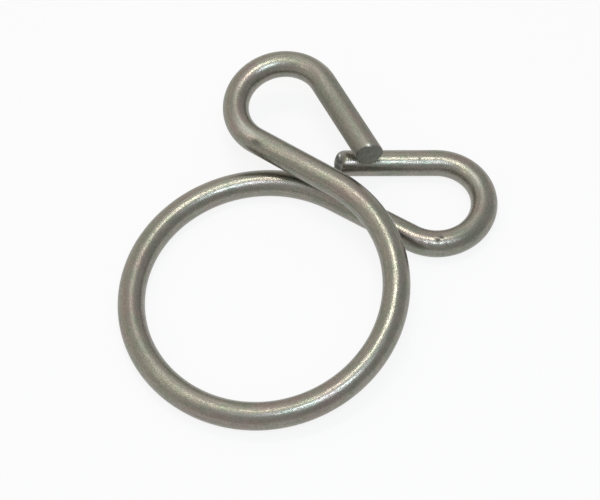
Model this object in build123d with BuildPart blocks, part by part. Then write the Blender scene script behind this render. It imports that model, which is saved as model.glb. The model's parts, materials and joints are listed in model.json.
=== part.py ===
import os
from math import asin, degrees, hypot, radians, tan

from build123d import *

# A spring clamp for soft tubing, bent from one length of round spring wire.
# The wire makes one turn for the ring. Its two sides cross at the top of the ring, and each
# side then bends back the other way into a finger loop. Pinching the loops opens the ring.
# Origin: the ring's centre, on the surface that the clamp lies on. +Y points at the loops.

os.makedirs("parts", exist_ok=True)

# Wire
wire_diameter = 2.0
wire_radius = wire_diameter / 2

# Ring: each side turns from the middle of its bottom to where the wire runs straight
ring_inside_diameter = 17.5
ring_radius = ring_inside_diameter / 2 + wire_radius
lower_half_angle = 180.0
upper_half_angle = 178.5

# Crossing: the lower side lies flat, and the upper side climbs over it with a small gap
crossing_gap = 0.5
crossing_rise = wire_diameter + crossing_gap
climb_angle = degrees(asin(crossing_rise / (2 * ring_radius)))

# Finger loops: a straight leg, the bend back, and a straight end
loop_inside_diameter = 5.2
loop_radius = loop_inside_diameter / 2 + wire_radius
lower_leg_length = 6.8
upper_leg_length = 7.2
lower_loop_angle = 211.0
upper_loop_angle = 208.0
lower_end_length = 7.45
upper_end_length = 7.3

# Cut ends: each cut leans back from square at the wire's top, and at its left as seen from above
# by someone who looks along the wire to its end. A cut with less than nothing leans to the right.
lower_lean_angle = 20.0
lower_skew_angle = 8.0
upper_lean_angle = 13.0
upper_skew_angle = -15.0
rim_bevel = 0.2
blade_clearance = 0.3


def bent_side(direction, climb, half_angle, leg_length, loop_angle, end_length, lean_angle, skew_angle):
    """One side of the wire, from the middle of the ring's bottom to its cut end.

    The wire leaves the bottom along X, in the given direction (+1 or -1). All its bends lie in
    one plane, which climbs towards the loops by the given angle.
    """
    flat = Plane(origin=(0, -ring_radius, wire_radius), x_dir=(direction, 0, 0), z_dir=(0, 0, direction))
    bends = flat.rotated((direction * climb, 0, 0))
    section = Plane(origin=bends.origin, x_dir=bends.y_dir, z_dir=bends.x_dir)
    lean_slope = tan(radians(lean_angle))
    skew_slope = tan(radians(skew_angle))
    cut_stock = wire_radius * hypot(lean_slope, skew_slope)
    blade_radius = hypot(wire_radius, cut_stock) + blade_clearance
    blade_travel = 2 * cut_stock + blade_clearance

    with BuildPart() as side:
        with BuildLine(bends) as route:
            half_ring = JernArc((0, 0), (1, 0), ring_radius, half_angle)
            leg = PolarLine(half_ring @ 1, leg_length, direction=half_ring % 1)
            loop = JernArc(leg @ 1, leg % 1, loop_radius, -loop_angle)
            PolarLine(loop @ 1, end_length + cut_stock, direction=loop % 1)
        with BuildSketch(section):
            Circle(wire_radius)
        sweep(path=route.line)

        # The blade leaves a flat that leans up and sideways out of square
        heading = loop % 1
        upward = bends.z_dir * direction
        leftward = upward.cross(heading)
        cut_facing = heading + upward * lean_slope + leftward * skew_slope
        cut_centre = (loop @ 1) + heading * end_length
        with BuildSketch(Plane(origin=cut_centre, z_dir=cut_facing)):
            Circle(blade_radius)
        extrude(amount=blade_travel, mode=Mode.SUBTRACT)
        cut_face = side.faces().sort_by_distance(cut_centre)[0]
        chamfer(cut_face.edges(), rim_bevel)
    return side.part


lower_side = bent_side(
    -1,
    0,
    lower_half_angle,
    lower_leg_length,
    lower_loop_angle,
    lower_end_length,
    lower_lean_angle,
    lower_skew_angle,
)
upper_side = bent_side(
    1,
    climb_angle,
    upper_half_angle,
    upper_leg_length,
    upper_loop_angle,
    upper_end_length,
    upper_lean_angle,
    upper_skew_angle,
)

# The two sides are one wire: they meet at the middle of the ring's bottom
with BuildPart() as clamp_wire:
    add(lower_side)
    add(upper_side)

clamp_wire.part.label = "clamp_wire"
export_step(clamp_wire.part, "parts/clamp_wire.step")
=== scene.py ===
import json
from math import asin, cos, exp, pi, radians, sin, tan

import bmesh
import bpy
from mathutils import Matrix, Vector, noise


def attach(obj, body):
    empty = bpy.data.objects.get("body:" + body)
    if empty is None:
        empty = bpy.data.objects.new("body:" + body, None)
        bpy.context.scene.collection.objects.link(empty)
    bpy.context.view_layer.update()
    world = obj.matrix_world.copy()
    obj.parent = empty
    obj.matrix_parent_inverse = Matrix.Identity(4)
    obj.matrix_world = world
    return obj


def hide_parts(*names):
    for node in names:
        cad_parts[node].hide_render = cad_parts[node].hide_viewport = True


# A spring clamp for soft tubing, bent from one length of round wire and lying on a pale table.
# Everything is in metres, in the clamp's own frame: its origin is the ring's centre, on the table.
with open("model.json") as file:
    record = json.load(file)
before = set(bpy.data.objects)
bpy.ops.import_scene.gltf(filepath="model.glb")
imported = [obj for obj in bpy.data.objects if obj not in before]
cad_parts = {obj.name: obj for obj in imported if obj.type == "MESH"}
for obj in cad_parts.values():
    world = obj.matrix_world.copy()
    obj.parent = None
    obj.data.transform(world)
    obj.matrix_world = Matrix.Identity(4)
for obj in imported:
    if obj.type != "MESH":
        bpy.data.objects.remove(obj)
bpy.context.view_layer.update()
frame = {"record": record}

mm = 0.001

# The wire's bends
# Hard-drawn round spring wire, bent cold around pins: half a ring, a leg, a finger loop and an end
# on each side of the ring's bottom. One side lies flat and the other climbs to cross over it.
tube_ring = frame["record"]["mounts"][0]["dims"]
wire_radius = tube_ring["length_mm"] * mm / 2
ring_radius = tube_ring["r_mm"] * mm + wire_radius
loop_radius = 3.6 * mm
crossing_rise = 2.5 * mm
ring_bottom = Vector((0, -ring_radius, wire_radius))
lower, upper = -1, 1
half_turn = {lower: radians(180), upper: radians(178.5)}
leg_length = {lower: 6.8 * mm, upper: 7.2 * mm}
loop_turn = {lower: radians(211), upper: radians(208)}
end_length = {lower: 7.45 * mm, upper: 7.3 * mm}
climb = {lower: 0, upper: asin(crossing_rise / (2 * ring_radius))}


def stretches(side):
    """A side's stretches in order from the ring's bottom: how long each is, and how far it turns."""
    return (
        (ring_radius * half_turn[side], half_turn[side]),
        (leg_length[side], 0),
        (loop_radius * loop_turn[side], -loop_turn[side]),
        (end_length[side], 0),
    )


side_length = {side: sum(length for length, turn in stretches(side)) for side in (lower, upper)}


def along_side(side, distance):
    """The place and the heading, in the plane of the bends, at a distance from the ring's bottom."""
    place = Vector((0, 0))
    heading = 0
    for length, turn in stretches(side):
        step = min(distance, length)
        part_turn = turn * step / length
        chord = step * (sin(part_turn / 2) / (part_turn / 2) if part_turn else 1)
        middle_heading = heading + part_turn / 2
        place += Vector((cos(middle_heading), sin(middle_heading))) * chord
        heading += part_turn
        distance -= step
    straight_on = Vector((cos(heading), sin(heading)))
    return place + straight_on * distance, heading


def in_wire(side, distance, depth, angle):
    """A point in the wire at a depth from its middle line and an angle round that line."""
    place, heading = along_side(side, distance)
    across = Vector((-side * sin(heading), cos(heading), 0))
    outward = across * cos(angle - climb[side]) + Vector((0, 0, 1)) * sin(angle - climb[side])
    flat = Vector((side * place.x, place.y, 0)) + outward * depth
    return Matrix.Rotation(climb[side], 3, "X") @ flat + ring_bottom


# The cut ends
# Each end was sheared off cold. The cut leans back from square at the wire's top and to one side.
# The blade rolls the rim over where it enters, tears the rest of the face, and drags out a burr.
cut_lean = {lower: radians(20), upper: radians(13)}
cut_skew = {lower: radians(8), upper: radians(-15)}
rolled_from = {lower: radians(55), upper: radians(270)}
least_rounding = 0.12 * mm
rolled_rounding = {lower: 0.42 * mm, upper: 0.06 * mm}
burr_reach = 0.07 * mm

# How far round the wire the rolled rim and the burr spread, in radians
rolled_spread = 0.9
burr_spread = 0.45

# The tearing is noise: how deep and how close its waves are, and how they get weaker and finer and
# how often. The two faces take it at places that far to either side, so they aren't torn alike.
tear_depth = {lower: 0.10 * mm, upper: 0.035 * mm}
tears_a_mm = 2.2
tear_weakening, tear_refining, tear_octaves = 0.9, 2.1, 5
between_faces = 5 * mm

# The ridge across the lower face: which way its flanks face and how far it misses the middle. The
# flanks fall away by a depth for each wire radius from it, up to a distance in wire radii.
ridge_across, ridge_up = 0.62, 0.78
ridge_offset = 0.05 * mm
flank_fall = 0.26 * mm
flank_end = 0.45

# Painted shade on the lower face: how dark it is all over and in its middle, and how sharply its ridge
# stands out
even_painted_shade = 0.35
middle_painted_shade = 0.6
middle_size = 0.62
ridge_sharpness = 7

# Spots on the faces: how far up and across they lie and how high and wide they are, in wire radii
# A line of painted shade on the upper face, and how dark it is painted
painted_shade_line = (0.84, -0.13, 0.07, 0.30)
painted_shade_line_darkness = 0.8
# A painted highlight spot on the lower face; its darkness is less than nothing
painted_highlight_spot = (0.34, 0.40, 0.22, 0.24)
painted_highlight_spot_darkness = -2


def turned_from(angle, other):
    """How far an angle round the wire is from another one, the short way."""
    return abs((angle - other + pi) % (2 * pi) - pi)


def rim_rounding(side, angle):
    """The radius of a cut's rim: largest where the blade entered."""
    off_blade = turned_from(angle, rolled_from[side])
    return least_rounding + rolled_rounding[side] * exp(-(off_blade / rolled_spread) ** 2)


def cut_reach(side, depth, angle):
    """How far a flat cut stands out beyond a square one, at a point of the wire."""
    up = depth * sin(angle - climb[side])
    left = side * depth * cos(angle - climb[side])
    return -up * tan(cut_lean[side]) - left * tan(cut_skew[side])


def torn_reach(side, depth, angle):
    """How far the torn face stands out beyond a flat cut. A ridge crosses the lower one."""
    up = depth * sin(angle)
    across = depth * cos(angle)
    place = Vector((across, up, side * between_faces)) / mm
    wave = noise.fractal(place * tears_a_mm, tear_weakening, tear_refining, tear_octaves)
    torn = wave * tear_depth[side]
    return torn - (flank_fall * min(off_ridge(depth, angle), flank_end) if side == lower else 0)


def off_ridge(depth, angle):
    """How far a point of the lower face is from the ridge across it, in wire radii."""
    return abs(depth * (cos(angle) * ridge_across + sin(angle) * ridge_up) + ridge_offset) / wire_radius


def spot_share(spot, up, across):
    """How strong a soft spot is at a place on a cut face."""
    spot_up, spot_across, height, width = spot
    return exp(-(((up - spot_up) / height) ** 2) - ((across - spot_across) / width) ** 2)


def face_painted_light(side, depth, angle):
    """How dark the torn face is painted. Less than nothing is a painted highlight.

    The lower has painted shade beside its ridge and a painted highlight; the upper a line of painted
    shade.
    """
    up = depth * sin(angle) / wire_radius
    across = depth * cos(angle) / wire_radius
    if side == upper:
        return painted_shade_line_darkness * spot_share(painted_shade_line, up, across)
    in_middle = exp(-((depth / wire_radius / middle_size) ** 4))
    beside_ridge = min(1, off_ridge(depth, angle) * ridge_sharpness)
    flank_painted_shade = beside_ridge * (even_painted_shade + middle_painted_shade * in_middle)
    return flank_painted_shade + painted_highlight_spot_darkness * spot_share(painted_highlight_spot, up, across)


def burr(side, angle):
    """How far the rim is dragged out opposite the place where the blade entered."""
    off_burr = turned_from(angle, rolled_from[side] + pi)
    return burr_reach * exp(-(off_burr / burr_spread) ** 2)


# The wire itself
# One closed skin from cut face to cut face. Tool marks are dented into it, and each point keeps its
# place in the wire as it was before bending, so that the drawing lines run along it unbroken.
stations_a_side = 560
points_around = 72
rim_steps = 8
face_steps = 16

# How fast the marks and the burr fade and the tearing sets in, from a cut's rim to its middle
mark_fade = 8
burr_fade = 6
tear_start = 0.15
tear_rise = 3

# Marks of the bending pins, the shears and handling: side, distance from the ring's bottom in mm,
# degrees round the wire, length along it, width across it and depth in mm, and how dark it is
# made with dirt and painted shade in the dent.
# A depth of less than nothing stands out, and a darkness of less than nothing is a painted highlight.
marks = (
    (lower, 39.47, 76, 0.14, 0.12, 0.050, 1.0),
    (lower, 39.72, 89, 0.14, 0.12, 0.040, 1.0),
    (lower, 38.25, 62, 0.07, 0.22, 0.012, 0.5),
    (lower, 38.85, 62, 0.07, 0.22, 0.014, 0.5),
    (lower, 39.40, 60, 0.07, 0.20, 0.014, 0.5),
    (lower, 39.95, 58, 0.07, 0.22, 0.016, 0.5),
    (lower, 46.60, 108, 0.80, 0.25, 0, -0.3),
    (lower, 52.00, 104, 0.10, 0.12, 0.015, 0.9),
    (upper, 37.10, 72, 0.42, 0.18, 0.015, 0.8),
    (upper, 38.50, 90, 1.20, 0.30, 0, -0.4),
    (upper, 57.92, 90, 0.07, 0.13, -0.015, -0.7),
)


def marked(side, distance, angle):
    """How deep the marks are at a place on the skin, and how much dirt and painted light they carry."""
    depth = marks_dirt_and_painted_light = 0
    for mark_side, mark_distance, mark_angle, length, width, dent, mark_dirt_and_painted_light in marks:
        if mark_side == side:
            near = (distance / mm - mark_distance) / length
            beside = turned_from(angle, radians(mark_angle)) * wire_radius / mm / width
            share = exp(-near * near - beside * beside)
            depth += dent * share * mm
            marks_dirt_and_painted_light += mark_dirt_and_painted_light * share
    return depth, marks_dirt_and_painted_light


def side_rows(side):
    """A side's rows of points: side, distance, how far each is turned round the rim, and how far in."""
    length = side_length[side]
    shank = [(side, length * row / stations_a_side, 0, 0) for row in range(1, stations_a_side + 1)]
    rim = [(side, length, pi / 2 * row / rim_steps, 0) for row in range(1, rim_steps + 1)]
    face = [(side, length, pi / 2, row / face_steps) for row in range(1, face_steps)]
    return shank + rim + face


mesh = bmesh.new()
straight_wire = mesh.verts.layers.float_vector.new("straight_wire")
cut_face = mesh.verts.layers.float.new("cut_face")
# Dirt and painted light: above nothing it is dirt and painted shade, below nothing a painted highlight
dirt_and_painted_light = mesh.verts.layers.float.new("dirt_and_painted_light")


def skin_point(side, distance, rim_turn, inward, angle):
    """Adds one point of the skin to the mesh."""
    rounding = rim_rounding(side, angle)
    share = (1 - rounding / wire_radius * (1 - cos(rim_turn))) * (1 - inward)
    mark_depth, marks_dirt_and_painted_light = marked(side, distance, angle)
    on_skin = max(0, 1 - inward * mark_fade)
    depth = (wire_radius - mark_depth * on_skin) * share
    lean = max(0, 1 - (side_length[side] - distance) / end_length[side])
    reach = distance + lean * (cut_reach(side, depth, angle) - rounding * (1 - sin(rim_turn)))
    if rim_turn > 0:
        on_rim = sin(rim_turn) ** 2
        reach += on_rim * burr(side, angle) * max(0, 1 - inward * burr_fade)
        reach += on_rim * torn_reach(side, depth, angle) * min(1, tear_start + inward * tear_rise)
    on_face = sin(rim_turn) ** 4
    point = mesh.verts.new(in_wire(side, reach, depth, angle))
    point[straight_wire] = Vector((side * reach, depth * cos(angle), depth * sin(angle))) / mm
    point[cut_face] = on_face
    # The skin's dirt and painted light: the marks' dirt, painted shade and highlights, and the cut faces'
    # painted shade and highlight
    point[dirt_and_painted_light] = marks_dirt_and_painted_light * on_skin + on_face * face_painted_light(side, depth, angle)
    return point


rings = []
for row in side_rows(lower)[::-1] + [(upper, 0, 0, 0)] + side_rows(upper):
    rings.append([skin_point(*row, 2 * pi * turn / points_around) for turn in range(points_around)])
for ring, next_ring in zip(rings, rings[1:]):
    for turn in range(points_around):
        beside = (turn + 1) % points_around
        mesh.faces.new((ring[turn], ring[beside], next_ring[beside], next_ring[turn]))
for side, ring in ((lower, rings[0]), (upper, rings[-1])):
    middle = skin_point(side, side_length[side], pi / 2, 1, 0)
    for turn in range(points_around):
        beside = (turn + 1) % points_around
        corners = (ring[turn], middle, ring[beside])
        mesh.faces.new(corners if side == lower else corners[::-1])
bmesh.ops.recalc_face_normals(mesh, faces=mesh.faces)
for face in mesh.faces:
    face.smooth = True
wire_mesh = bpy.data.meshes.new("spring_wire")
mesh.to_mesh(wire_mesh)
mesh.free()
clamp = bpy.data.objects.new("spring_wire", wire_mesh)
bpy.context.collection.objects.link(clamp)
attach(clamp, "root")
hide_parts("clamp_wire")


# The wire's finish
# Bare drawn steel gone warm grey: fine burnished lines and spots from the die on a matt ground,
# with patches of olive and brown from oil and handling. The cut faces are dull torn metal, the
# last stretch of the upper side is dull too, and the marks hold dirt. Painted shade darkens the
# marks and the cut faces, and painted highlights brighten a few marks and a spot on a face.
class Signal:
    """What one node of a material gives. Sums and products of signals add Math nodes."""

    tree = None

    def __init__(self, socket):
        self.socket = socket

    @classmethod
    def of(cls, kind, settings=None, sockets=None, output=0):
        """Adds a node: its type, its settings, and the values or signals of its sockets."""
        node = cls.tree.nodes.new(kind)
        for name, value in (settings or {}).items():
            setattr(node, name, value)
        for name, value in (sockets or {}).items():
            if isinstance(value, Signal):
                cls.tree.links.new(value.socket, node.inputs[name])
            else:
                node.inputs[name].default_value = value
        return cls(node.outputs[output])

    @classmethod
    def maths(cls, operation, first, second=0):
        """Adds a Math node, whose two values are signals or numbers."""
        return cls.of("ShaderNodeMath", {"operation": operation}, {0: first, 1: second})

    def __add__(self, other):
        return Signal.maths("ADD", self, other)

    def __sub__(self, other):
        return Signal.maths("SUBTRACT", self, other)

    def __rsub__(self, other):
        return Signal.maths("SUBTRACT", other, self)

    def __mul__(self, other):
        return Signal.maths("MULTIPLY", self, other)

    __radd__ = __add__
    __rmul__ = __mul__

    def between(self, low, high):
        """0 below low, 1 above high, and a soft step between them."""
        ends = {"Value": self, "From Min": low, "From Max": high}
        return Signal.of("ShaderNodeMapRange", {"interpolation_type": "SMOOTHSTEP"}, ends)


def stretched(vector, along, around):
    """The place in the straight wire, scaled along it and round it."""
    factors = {0: vector, 1: (along, around, around)}
    return Signal.of("ShaderNodeVectorMath", {"operation": "MULTIPLY"}, factors)


def rough_noise(vector, detail, roughness=0.5):
    """Noise from 0 to 1 at a place in the straight wire."""
    sockets = {"Vector": vector, "Scale": 1.0, "Detail": detail, "Roughness": roughness}
    return Signal.of("ShaderNodeTexNoise", {}, sockets)


def mixed(share, first, second):
    """The first colour, and the second where share is 1."""
    return Signal.of("ShaderNodeMix", {"data_type": "RGBA"}, {0: share, 6: first, 7: second}, 2)


steel = bpy.data.materials.new("satin_spring_steel")
steel.use_nodes = True
Signal.tree = steel.node_tree
shader = steel.node_tree.nodes["Principled BSDF"]

before_bending = Signal.of("ShaderNodeAttribute", {"attribute_name": "straight_wire"}, {}, 1)
on_cut = Signal.of("ShaderNodeAttribute", {"attribute_name": "cut_face"}, {}, 2)
# Dirt and painted shade above nothing, painted highlights below
dirt_and_painted_light_share = Signal.of("ShaderNodeAttribute", {"attribute_name": "dirt_and_painted_light"}, {}, 2)

die_lines = rough_noise(stretched(before_bending, 0.6, 11), 3, 0.6)
grain = rough_noise(stretched(before_bending, 6, 8), 2, 0.6)
pits = rough_noise(stretched(before_bending, 17, 27), 1, 0.5)
dimples = rough_noise(stretched(before_bending, 1.4, 3.6), 2, 0.5)
blotches = rough_noise(stretched(before_bending, 1.1, 1.7), 3, 0.55)
stains = rough_noise(stretched(before_bending, 0.3, 0.7), 2)

# The cut faces are dull, and so is the end of the upper side: its last 6 mm, fading in over 2.5 mm
dull_end = 6
dull_fade = 2.5
dull_share = 0.85
along = Signal.of("ShaderNodeSeparateXYZ", {}, {0: before_bending})
upper_tip = side_length[upper] / mm
near_end = along.between(upper_tip - (dull_end + dull_fade), upper_tip - dull_end)
dull = on_cut + near_end * (1 - on_cut) * dull_share

warm_grey = (0.270, 0.256, 0.222, 1)
olive_grey = (0.236, 0.246, 0.202, 1)
brown_grey = (0.278, 0.230, 0.212, 1)
torn_grey = (0.235, 0.240, 0.210, 1)
# A pale colour for painted highlights, and a nearly black one for dirt and painted shade
painted_highlight_colour = (0.760, 0.760, 0.720, 1)
dirt_and_painted_shade_colour = (0.026, 0.023, 0.019, 1)
stain_share = 0.7
colour = mixed(blotches.between(0.45, 0.62), warm_grey, olive_grey)
colour = mixed(stains.between(0.5, 0.68) * stain_share, colour, brown_grey)

# How much lighter and darker the lines, the grain and the burnished spots make the steel
middling = 0.5
line_contrast = 0.28
grain_contrast = 0.65
even_brightness = 0.945
burnished_gain = 0.08
burnished = (pits * 0.25 + grain * 0.25 + die_lines * 0.5).between(0.38, 0.60)
lines_and_grain = (die_lines - middling) * line_contrast + (grain - middling) * grain_contrast
light_and_dark = lines_and_grain + even_brightness + burnished * burnished_gain
scaled = {"Vector": colour, "Scale": light_and_dark}
colour = Signal.of("ShaderNodeVectorMath", {"operation": "SCALE"}, scaled)

# Dirt and painted shade darken the marks and cut faces, and painted highlights make some of them pale
painted_highlight = dirt_and_painted_light_share * -1
colour = mixed(on_cut, colour, torn_grey)
colour = mixed(dirt_and_painted_light_share, colour, dirt_and_painted_shade_colour)
colour = mixed(painted_highlight, colour, painted_highlight_colour)

# The steel is satin, rougher where it is dull and smoother where it is burnished or has a painted
# highlight
satin_roughness = 0.42
dull_gain = 0.18
burnished_loss = 0.17
painted_highlight_roughness_loss = 0.18
painted_highlight_share = painted_highlight.between(0, 1)
roughness = satin_roughness + dull * dull_gain
roughness = roughness - burnished * (1 - dull) * burnished_loss - painted_highlight_share * painted_highlight_roughness_loss

relief_depth = 0.012 * mm
relief = die_lines * 0.35 + grain * 0.28 + dimples * 0.9
bump = Signal.of("ShaderNodeBump", {}, {"Height": relief, "Strength": 1.0, "Distance": relief_depth})

metal = 1 - dirt_and_painted_light_share.between(0, 1)
feeds = {"Base Color": colour, "Roughness": roughness, "Metallic": metal, "Normal": bump}
for socket, signal in feeds.items():
    Signal.tree.links.new(signal.socket, shader.inputs[socket])
wire_mesh.materials.append(steel)


# The table
# A plain matt sheet that takes the clamp's shadow. The camera, and the metal that mirrors it, see
# it as nearly white.
table_reach = 1.2
table_mesh = bpy.data.meshes.new("table")
corners = [(x * table_reach, y * table_reach, 0) for x, y in ((-1, -1), (1, -1), (1, 1), (-1, 1))]
table_mesh.from_pydata(corners, [], [(0, 1, 2, 3)])
table = bpy.data.objects.new("table", table_mesh)
bpy.context.collection.objects.link(table)

paper = bpy.data.materials.new("white_table")
paper.use_nodes = True
paper.node_tree.nodes.clear()
Signal.tree = paper.node_tree
white_share = 0.85
pale = (0.86, 0.86, 0.86, 1)
ray = {name: Signal.of("ShaderNodeLightPath", output=name) for name in ("Is Camera Ray", "Is Glossy Ray")}
seen_white = ray["Is Camera Ray"] * white_share + ray["Is Glossy Ray"] * white_share
matt = Signal.of("ShaderNodeBsdfDiffuse", {}, {"Color": pale})
white = Signal.of("ShaderNodeEmission", {}, {"Color": (1, 1, 1, 1), "Strength": 1.0})
sheet = Signal.of("ShaderNodeMixShader", {}, {0: seen_white, 1: matt, 2: white})
surface = paper.node_tree.nodes.new("ShaderNodeOutputMaterial")
paper.node_tree.links.new(sheet.socket, surface.inputs["Surface"])
table_mesh.materials.append(paper)


# The light
# Soft lamps close overhead in a pale room: a neutral one, a longer cool one to its right, and two
# weak ones, which are light from the room's left and far parts. All four are equally far away.
lamp_distance = 0.12


def lamp(name, lean_x, lean_y, length, width, turn, strength, colour):
    """A flat lamp seen from the clamp at two leans from overhead, with its length and width as angles."""
    direction = Vector((tan(radians(lean_x)), tan(radians(lean_y)), 1)).normalized()
    light = bpy.data.lights.new(name, "AREA")
    light.shape = "ELLIPSE"
    light.size = 2 * lamp_distance * tan(radians(length) / 2)
    light.size_y = 2 * lamp_distance * tan(radians(width) / 2)
    light.energy = strength * pi * light.size * light.size_y
    light.color = colour
    holder = bpy.data.objects.new(name, light)
    holder.location = direction * lamp_distance
    level = direction.to_track_quat("Z", "Y")
    holder.rotation_mode = "QUATERNION"
    holder.rotation_quaternion = level @ Matrix.Rotation(radians(turn), 3, "Z").to_quaternion()
    bpy.context.collection.objects.link(holder)


lamp("near_lamp", -6, 12, 20, 10, 10, 9.6, (1.0, 1.0, 0.90))
lamp("cool_lamp", 16, -12, 28, 9, -29, 11.2, (0.74, 0.87, 1.0))
lamp("left_glow", -22, -13, 48, 10, -54, 1.4, (1.0, 0.95, 0.74))
lamp("far_window", -31, 38, 40, 22, 66, 0.45, (1.0, 0.98, 0.92))

# The room's walls: how bright they light the clamp, and how much brighter the metal mirrors them,
# which is less to the right and overhead. The camera sees plain white.
wall_light = 0.5
mirrored_gain = 0.28
loss_rightwards = 0.22
loss_upwards = 0.17
warm_wall = (1, 0.945, 0.87, 1)
plain_white = (1, 1, 1, 1)
world = bpy.data.worlds.new("white_room")
bpy.context.scene.world = world
world.use_nodes = True
Signal.tree = world.node_tree
background = world.node_tree.nodes["Background"]
ray = {name: Signal.of("ShaderNodeLightPath", output=name) for name in ("Is Camera Ray", "Is Glossy Ray")}
towards = Signal.of("ShaderNodeTexCoord")
rightwards = Signal.of("ShaderNodeSeparateXYZ", {}, {0: towards})
upwards = Signal.of("ShaderNodeSeparateXYZ", {}, {0: towards}, 2)
mirrored = mirrored_gain - rightwards * loss_rightwards - upwards * loss_upwards
room = wall_light + ray["Is Camera Ray"] * (1 - wall_light) + ray["Is Glossy Ray"] * mirrored
world.node_tree.links.new(room.socket, background.inputs["Strength"])
far_from_walls = (rightwards * 0.5 + upwards).between(-0.2, 0.9) + ray["Is Camera Ray"]
tint = mixed(far_from_walls, warm_wall, plain_white)
world.node_tree.links.new(tint.socket, background.inputs["Color"])


# The camera
# A long lens close above the clamp, aimed near its middle. It looks down from the front right and
# is tipped a little to one side.
aim = Vector((0.217, 4.574, 1.0)) * mm
camera_distance = 111.64 * mm
camera_elevation = radians(59.41)
camera_azimuth = radians(37.57)
camera_roll = radians(-5.65)
back = Vector((
    sin(camera_azimuth) * cos(camera_elevation),
    -cos(camera_azimuth) * cos(camera_elevation),
    sin(camera_elevation),
))
lens = bpy.data.cameras.new("camera")
lens.sensor_width = 36
lens.lens = 90
lens.clip_start = 1 * mm
camera = bpy.data.objects.new("camera", lens)
camera.location = aim + back * camera_distance
camera.rotation_mode = "QUATERNION"
level = (-back).to_track_quat("-Z", "Y")
camera.rotation_quaternion = level @ Matrix.Rotation(camera_roll, 3, "Z").to_quaternion()
bpy.context.collection.objects.link(camera)
bpy.context.scene.camera = camera
bpy.context.scene.view_settings.view_transform = "Standard"
